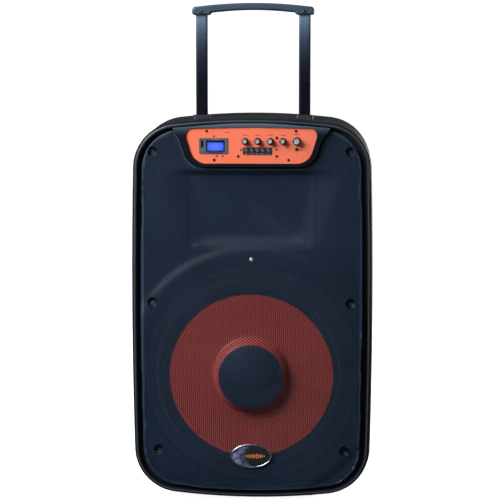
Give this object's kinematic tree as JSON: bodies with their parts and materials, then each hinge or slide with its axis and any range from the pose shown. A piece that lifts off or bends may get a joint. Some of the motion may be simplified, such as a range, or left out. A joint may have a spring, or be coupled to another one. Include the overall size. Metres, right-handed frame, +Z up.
{
  "type": "trolley party speaker",
  "caption": "Portable trolley party speaker with a moulded cabinet, perforated steel grille, orange control panel, telescopic handle and rear wheels.",
  "frame": {"origin": "centre of the bounding box in plan, on the floor plane under the feet", "axes": "+Z up, the grille and control panel face -Y, +X to the right seen from the front"},
  "size_m": [0.433, 0.374, 0.8945],
  "materials": {
    "cabinet_plastic": "fine moulded texture, satin",
    "grille_steel": "powder coated, satin blue-black",
    "panel_orange": "screen printed, semi-gloss orange",
    "bezel_plastic": "satin black",
    "module_grey": "satin grey",
    "display_glass": "clear window over a lit display",
    "knob_silver": "silver cap on a dark skirt",
    "button_black": "satin black",
    "strip_black": "satin black",
    "circuit_board": "green solder mask",
    "control_metal": "plated",
    "black_screw": "black oxide",
    "bright_screw": "zinc plated",
    "badge_chrome": "bright",
    "badge_gloss": "gloss with a printed wave",
    "basket_steel": "black pressed steel",
    "magnet_ferrite": "matt ferrite",
    "cone_paper": "pressed paper",
    "surround_cloth": "doped cloth",
    "spider_cloth": "resin-set cloth",
    "coil_aluminium": "wound former",
    "horn_plastic": "satin black",
    "tube_black": "satin black",
    "guide_steel": "galvanised",
    "collar_plastic": "satin black",
    "nylon": "natural nylon",
    "grip_plastic": "fine moulded texture",
    "wheel_rubber": "rubber tread on a black hub",
    "axle_steel": "bright",
    "foot_rubber": "matt",
    "socket_plastic": "satin black",
    "plate_steel": "satin black",
    "connector_black": "satin black",
    "lamp_red": "clear red",
    "rocker_red": "gloss red",
    "heat_aluminium": "anodised",
    "battery_plastic": "satin",
    "tray_steel": "galvanised",
    "supply_case": "folded sheet"
  },
  "bodies": {
    "cabinet": {"front_frame": "cabinet_plastic", "rear_cabinet": "cabinet_plastic", "cabinet_screws": "black_screw", "speaker_grille": "grille_steel", "grille_screws": "black_screw", "control_bezel": "bezel_plastic", "control_plate": "panel_orange", "control_plate_screws": "bright_screw", "media_module": "module_grey", "display_lens": "display_glass", "button_strip": "strip_black", "aux_jack": "control_metal", "control_board": "circuit_board", "rotary_controls": "control_metal", "badge_rim": "badge_chrome", "badge_plate": "badge_gloss", "woofer_basket": "basket_steel", "woofer_magnet": "magnet_ferrite", "woofer_surround": "surround_cloth", "woofer_spider": "spider_cloth", "horn_flare": "horn_plastic", "compression_driver": "magnet_ferrite", "driver_screws": "black_screw", "handle_guides": "guide_steel", "handle_collars": "collar_plastic", "wheel_axle": "axle_steel", "rubber_feet": "foot_rubber", "foot_screws": "bright_screw", "pole_socket": "socket_plastic", "power_plate": "plate_steel", "power_plate_screws": "black_screw", "charge_lamp": "lamp_red", "mains_inlet": "connector_black", "charging_socket": "connector_black", "power_switch_body": "connector_black", "amplifier_board": "circuit_board", "heat_sink": "heat_aluminium", "power_supply": "supply_case", "battery": "battery_plastic", "battery_tray": "tray_steel"},
    "handle": {"handle_tube_left": "tube_black", "handle_tube_right": "tube_black", "handle_glides": "nylon", "handle_grip": "grip_plastic", "handle_grip_screws": "black_screw"},
    "mic_volume_knob": {"mic_volume_knob": "knob_silver"},
    "echo_knob": {"echo_knob": "knob_silver"},
    "bass_knob": {"bass_knob": "knob_silver"},
    "treble_knob": {"treble_knob": "knob_silver"},
    "master_volume_knob": {"master_volume_knob": "knob_silver"},
    "mode_button": {"mode_button": "button_black"},
    "previous_button": {"previous_button": "button_black"},
    "play_button": {"play_button": "button_black"},
    "next_button": {"next_button": "button_black"},
    "repeat_button": {"repeat_button": "button_black"},
    "rocker": {"power_rocker": "rocker_red"},
    "wheel_left": {"wheel_left": "wheel_rubber"},
    "wheel_right": {"wheel_right": "wheel_rubber"},
    "cone": {"woofer_cone": "cone_paper", "voice_coil": "coil_aluminium"}
  },
  "joints": [
    {"name": "handle_slide", "type": "slide", "parent": "cabinet", "child": "handle", "axis": [0, 0, 1], "range_m": [-0.172, 0]},
    {"name": "mic_volume_turn", "type": "hinge", "parent": "cabinet", "child": "mic_volume_knob", "pos_m": [-0.0112, -0.17, 0.65], "axis": [0, 1, 0], "range_deg": [0, 300]},
    {"name": "echo_turn", "type": "hinge", "parent": "cabinet", "child": "echo_knob", "pos_m": [0.01115, -0.17, 0.65], "axis": [0, 1, 0], "range_deg": [0, 300]},
    {"name": "bass_turn", "type": "hinge", "parent": "cabinet", "child": "bass_knob", "pos_m": [0.0335, -0.17, 0.65], "axis": [0, 1, 0], "range_deg": [0, 300]},
    {"name": "treble_turn", "type": "hinge", "parent": "cabinet", "child": "treble_knob", "pos_m": [0.05585, -0.17, 0.65], "axis": [0, 1, 0], "range_deg": [0, 300]},
    {"name": "master_volume_turn", "type": "hinge", "parent": "cabinet", "child": "master_volume_knob", "pos_m": [0.0802, -0.17, 0.65], "axis": [0, 1, 0], "range_deg": [0, 300]},
    {"name": "mode_press", "type": "slide", "parent": "cabinet", "child": "mode_button", "axis": [0, 1, 0], "range_m": [0, 0.0012], "stiffness_N_per_m": 1000, "springref_m": -0.0005},
    {"name": "previous_press", "type": "slide", "parent": "cabinet", "child": "previous_button", "axis": [0, 1, 0], "range_m": [0, 0.0012], "stiffness_N_per_m": 1000, "springref_m": -0.0005},
    {"name": "play_press", "type": "slide", "parent": "cabinet", "child": "play_button", "axis": [0, 1, 0], "range_m": [0, 0.0012], "stiffness_N_per_m": 1000, "springref_m": -0.0005},
    {"name": "next_press", "type": "slide", "parent": "cabinet", "child": "next_button", "axis": [0, 1, 0], "range_m": [0, 0.0012], "stiffness_N_per_m": 1000, "springref_m": -0.0005},
    {"name": "repeat_press", "type": "slide", "parent": "cabinet", "child": "repeat_button", "axis": [0, 1, 0], "range_m": [0, 0.0012], "stiffness_N_per_m": 1000, "springref_m": -0.0005},
    {"name": "power_rock", "type": "hinge", "parent": "cabinet", "child": "rocker", "pos_m": [0.008, 0.173, 0.3], "axis": [1, 0, 0], "range_deg": [0, 16]},
    {"name": "wheel_left_spin", "type": "hinge", "parent": "cabinet", "child": "wheel_left", "pos_m": [-0.166, 0.149, 0.044], "axis": [1, 0, 0], "continuous": true},
    {"name": "wheel_right_spin", "type": "hinge", "parent": "cabinet", "child": "wheel_right", "pos_m": [0.166, 0.149, 0.044], "axis": [1, 0, 0], "continuous": true},
    {"name": "cone_stroke", "type": "slide", "parent": "cabinet", "child": "cone", "axis": [0, -1, 0], "range_m": [-0.004, 0.004], "stiffness_N_per_m": 4000, "deforming": ["woofer_surround", "woofer_spider"]}
  ]
}
